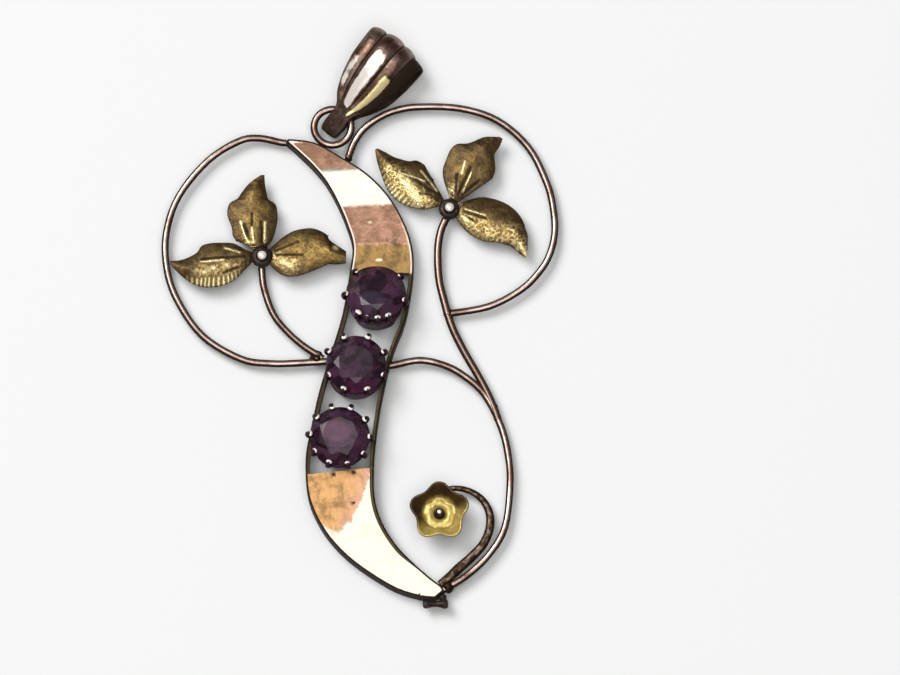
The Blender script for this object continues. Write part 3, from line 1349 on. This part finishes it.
# Where one flute ends and the next begins, as shares of the width from the right, and how high each rises
FLUTE_EDGES = [0.0, 0.18, 0.42, 0.76, 1.0]
FLUTE_RISES = [0.3, 0.8, 1.0, 0.8]
# Worn ridges: share of the width, half width, from and to along the bail, brightness
WORN_RIDGES = [
    (0.58, 0.14, 0.1, 5.9, 1.0), (0.90, 0.07, 1.0, 4.8, 0.55), (0.25, 0.09, -0.4, 4.7, 0.95),
]


def flute(share):
    """Height of the flutes at a share of the width, from 0 in a groove to 1 on the main ridge."""
    for low, high, rise in zip(FLUTE_EDGES, FLUTE_EDGES[1:], FLUTE_RISES):
        if share <= high:
            part = (share - low) / (high - low)
            return rise * math.sqrt(max(0.0, 1 - (2 * part - 1) ** 2))
    return 0.0


def wear(share, along, up):
    """How bright the worn ridges on the bail's upper side are at one place."""
    bright = 0.0
    for middle, half, start, end, strength in WORN_RIDGES:
        ends = between(along, start, start + 0.9) * (1 - between(along, end - 0.8, end))
        bright = max(bright, strength * ends * (1 - between(abs(share - middle), half * 0.45, half)))
    return bright * between(up, 0.3, 0.7)


# The bail's sheet from its side, once round: along, up, width, depth of the flutes,
# how far the right and the left edge are bent in
BAIL_ROWS = [
    (-2.05, 0.00, 1.3, 0.02, 0.05, 0.05), (-1.80, -0.26, 1.55, 0.02, 0.05, 0.05),
    (-1.10, -0.45, 1.65, 0.02, 0.05, 0.05), (-0.25, -0.75, 1.6, 0.04, 0.03, 0.03),
    (0.60, -0.84, 2.0, 0.04, 0.0, 0.0), (1.60, -0.86, 3.2, 0.04, 0.0, 0.0),
    (3.00, -0.90, 4.5, 0.04, 0.0, 0.0), (4.80, -0.92, 5.1, 0.04, 0.0, 0.0),
    (6.20, -0.86, 5.3, 0.06, 0.05, 0.05), (7.00, -0.42, 5.5, 0.12, 0.2, 0.15),
    (7.33, 0.45, 5.5, 0.25, 0.4, 0.35), (7.28, 1.40, 5.4, 0.30, 0.8, 0.4),
    (6.75, 2.10, 5.3, 0.30, 1.0, 0.5), (5.60, 2.45, 5.2, 0.30, 1.0, 0.7),
    (4.00, 2.15, 5.0, 0.30, 0.9, 0.6), (2.30, 1.50, 4.3, 0.28, 0.6, 0.5),
    (1.10, 0.98, 3.2, 0.20, 0.2, 0.2), (0.40, 0.78, 2.1, 0.05, 0.0, 0.0),
    (-0.25, 0.75, 1.6, 0.04, 0.03, 0.03), (-1.10, 0.48, 1.65, 0.02, 0.05, 0.05),
    (-1.80, 0.28, 1.55, 0.02, 0.05, 0.05), (-2.05, 0.00, 1.3, 0.02, 0.05, 0.05),
]


class PENDANT_OT_bail(bpy.types.Operator):
    """Builds the fluted bail and the ring that it swings on"""

    bl_idname = "pendant.bail"
    bl_label = "Bail"

    def execute(self, context):
        self.sheet()
        self.ring()
        return {"FINISHED"}

    def sheet(self):
        """The bail's sheet, a grid with its width across the flutes and its length once round."""
        rows = curve(BAIL_ROWS, 6)
        last = len(rows) - 1
        bm = bmesh.new()
        bmesh.ops.create_grid(bm, x_segments=100, y_segments=last, size=1.0)
        groove, amber, shine = layers(bm, "groove", "amber", "shine")
        for vert in bm.verts:
            share = (1 - vert.co.x) / 2
            i = round((vert.co.y + 1) / 2 * last)
            before, after = rows[max(i - 1, 0)], rows[min(i + 1, last)]
            ahead = Vector((after[0] - before[0], after[1] - before[1])).normalized()
            along, up, width, depth, bend_right, bend_left = rows[i]
            ridge = flute(share)
            bend = bend_right if share < 0.5 else bend_left
            rise = 0.13 + depth * ridge - bend * (2 * share - 1) ** 2
            out = Vector((ahead.y, -ahead.x))
            vert.co = ((0.5 - share) * width, along + out.x * rise, up + out.y * rise)
            fluted = between(depth, 0.05, 0.2)
            vert[groove] = max(1 - ridge, 1 - between(share, 0.15, 0.19)) * fluted + 0.75 * (1 - fluted)
            vert[amber] = 1 - between(share, 0.38, 0.44)
            vert[shine] = wear(share, along, up)
        weld(bm, COARSE_WELD)
        bm.normal_update()
        highest = max(bm.faces, key=lambda f: f.calc_center_median().z)
        if highest.normal.z < 0:
            bmesh.ops.reverse_faces(bm, faces=bm.faces)
        a = math.radians(BAIL_HEADING)
        eye = RING_AT + Vector((math.cos(a), math.sin(a), 0.0)) * (RING_RADIUS - EYE_SHIFT)
        move(bm, Matrix.Translation(eye) @ Matrix.Rotation(math.radians(BAIL_HEADING - 90), 4, UP))
        bail = make_piece(bm, "fluted_bail", [bail_gold], ["bail"], body="bail")
        thicken(bail, thickness=0.28)

    def ring(self):
        bm = bmesh.new()
        section = Matrix.Translation((RING_RADIUS, 0, 0)) @ Matrix.Rotation(math.pi / 2, 4, "X")
        loop = bmesh.ops.create_circle(bm, segments=24, radius=RING_WIRE / 2, matrix=section)["verts"]
        spin(bm, loop + edges_round(loop), 72)
        outward(bm)
        bmesh.ops.translate(bm, vec=RING_AT, verts=bm.verts)
        make_piece(bm, "bail_ring_wire", [wire_gold], ["bail_ring"])


# Drop eye


# The spool from each of its ends towards the waist: radius, way from the end. Then the waist's radius
SPOOL_END = [(0.0, 0.02), (0.22, 0.02), (0.36, 0.12), (0.39, 0.30), (0.36, 0.50), (0.26, 0.80)]
SPOOL_WAIST = 0.24


class PENDANT_OT_drop_eye(bpy.types.Operator):
    """Builds the small spool under the lower tip"""

    bl_idname = "pendant.drop_eye"
    bl_label = "Drop eye"

    def execute(self, context):
        bm = bmesh.new()
        way = EYE_TO - EYE_FROM
        length = way.length
        other = [(radius, length - z) for radius, z in reversed(SPOOL_END)]
        turned_profile(bm, SPOOL_END + [(SPOOL_WAIST, length / 2)] + other, steps=32)
        move(bm, Matrix.Translation(EYE_FROM) @ way.to_track_quat("Z", "Y").to_matrix().to_4x4())
        ball(bm, EYE_SOLDER, radius=0.34)
        outward(bm)
        make_piece(bm, "drop_eye_spool", [dark_gold], ["drop_eye"])
        return {"FINISHED"}


# Stage


# The stage is in metres, except for the place on the plan in the middle of the view
VIEW_MIDDLE = Vector((6.92, -3.43, 0.0))
# Width of the camera's sensor, in millimetres
SENSOR_WIDTH = 36.0
# Colours of the sky: from below, at a middle height and from above
SKY_LOW = (0.10, 0.09, 0.085, 1)
SKY_MIDDLE = (0.16, 0.145, 0.14, 1)
SKY_HIGH = (0.48, 0.46, 0.45, 1)


def box_light(name, at, target, width, depth, power):
    """A flat lamp that shines on its target and is not seen itself."""
    data = bpy.data.lights.new(name, "AREA")
    data.shape = "RECTANGLE"
    data.size = width
    data.size_y = depth
    data.energy = power
    lamp = bpy.data.objects.new(name, data)
    lamp.location = at
    lamp.rotation_euler = (Vector(target) - Vector(at)).to_track_quat("-Z", "Y").to_euler()
    lamp.visible_camera = False
    bpy.context.scene.collection.objects.link(lamp)


class PENDANT_OT_stage(bpy.types.Operator):
    """Sets up the floor, the lights, the sky and the camera"""

    bl_idname = "pendant.stage"
    bl_label = "Stage"

    def execute(self, context):
        stage = context.scene.pendant_stage
        self.camera(context, stage)
        self.floor(context, stage)
        self.lights(stage)
        self.sky(context)
        return {"FINISHED"}

    def camera(self, context, stage):
        target = (VIEW_MIDDLE - PLAN_MIDDLE) * MM
        back = UP * math.sin(stage.height) - HEADWARD * math.cos(stage.height)
        top = HEADWARD * math.sin(stage.height) + UP * math.cos(stage.height)
        data = bpy.data.cameras.new("Camera")
        data.sensor_width = SENSOR_WIDTH
        data.lens = SENSOR_WIDTH * stage.away / stage.width
        data.clip_start = 0.05
        data.clip_end = 20.0
        camera = bpy.data.objects.new("Camera", data)
        turn = Matrix((RIGHTWARD, top, back)).transposed().to_4x4()
        camera.matrix_world = Matrix.Translation(target + back * stage.away) @ turn
        context.scene.collection.objects.link(camera)
        context.scene.camera = camera

    def floor(self, context, stage):
        bm = bmesh.new()
        bmesh.ops.create_circle(bm, cap_ends=True, segments=96, radius=1.2)
        mesh = bpy.data.meshes.new("Floor")
        bm.to_mesh(mesh)
        bm.free()
        mesh.materials.append(Shade("Floor").finish(Base_Color=stage.paper, Roughness=0.9))
        floor = bpy.data.objects.new("Floor", mesh)
        context.scene.collection.objects.link(floor)

    def lights(self, stage):
        below = HEADWARD * -0.30
        box_light("Overhead", below + UP * 1.1, below, width=0.9, depth=1.15, power=stage.overhead)
        key_way = (-RIGHTWARD * 0.55 + HEADWARD * 0.45 + UP).normalized()
        box_light("Key", key_way * 1.2, (0, 0, 0), width=0.6, depth=0.6, power=stage.key)

    def sky(self, context):
        world = bpy.data.worlds.new("Room")
        context.scene.world = world
        world.use_nodes = True
        nodes, links = world.node_tree.nodes, world.node_tree.links
        where = nodes.new("ShaderNodeTexCoord")
        split = nodes.new("ShaderNodeSeparateXYZ")
        ramp = nodes.new("ShaderNodeValToRGB")
        links.new(where.outputs["Generated"], split.inputs[0])
        links.new(split.outputs["Z"], ramp.inputs[0])
        links.new(ramp.outputs[0], nodes["Background"].inputs["Color"])
        stops = ramp.color_ramp.elements
        stops[0].color = SKY_LOW
        stops[1].color = SKY_HIGH
        stops.new(0.75).color = SKY_MIDDLE
        context.scene.view_settings.view_transform = "Standard"


SETTINGS = {
    "pendant_metal": PendantMetal,
    "pendant_stone": PendantStone,
    "pendant_wire": PendantWire,
    "pendant_leaf": PendantLeaf,
    "pendant_stage": PendantStage,
}
OPERATORS = [
    PENDANT_OT_stage, PENDANT_OT_ribbon, PENDANT_OT_stones, PENDANT_OT_collets, PENDANT_OT_scrolls,
    PENDANT_OT_leaves, PENDANT_OT_blossom, PENDANT_OT_bail, PENDANT_OT_drop_eye,
]


class PENDANT_PT_panel(bpy.types.Panel):
    bl_idname = "PENDANT_PT_panel"
    bl_label = "Scroll pendant"
    bl_space_type = "VIEW_3D"
    bl_region_type = "UI"
    bl_category = "Pendant"

    def draw(self, context):
        for name, group in SETTINGS.items():
            box = self.layout.box()
            for key in group.__annotations__:
                box.prop(getattr(context.scene, name), key)
        for operator in OPERATORS:
            self.layout.operator(operator.bl_idname)


def register():
    for group in SETTINGS.values():
        bpy.utils.register_class(group)
    for name, group in SETTINGS.items():
        setattr(bpy.types.Scene, name, PointerProperty(type=group))
    for operator in OPERATORS:
        bpy.utils.register_class(operator)
    bpy.utils.register_class(PENDANT_PT_panel)


def unregister():
    bpy.utils.unregister_class(PENDANT_PT_panel)
    for operator in reversed(OPERATORS):
        bpy.utils.unregister_class(operator)
    for name, group in SETTINGS.items():
        delattr(bpy.types.Scene, name)
        bpy.utils.unregister_class(group)


def main():
    register()
    for operator in OPERATORS:
        group, name = operator.bl_idname.split(".")
        getattr(getattr(bpy.ops, group), name)()


if __name__ == "__main__":
    main()
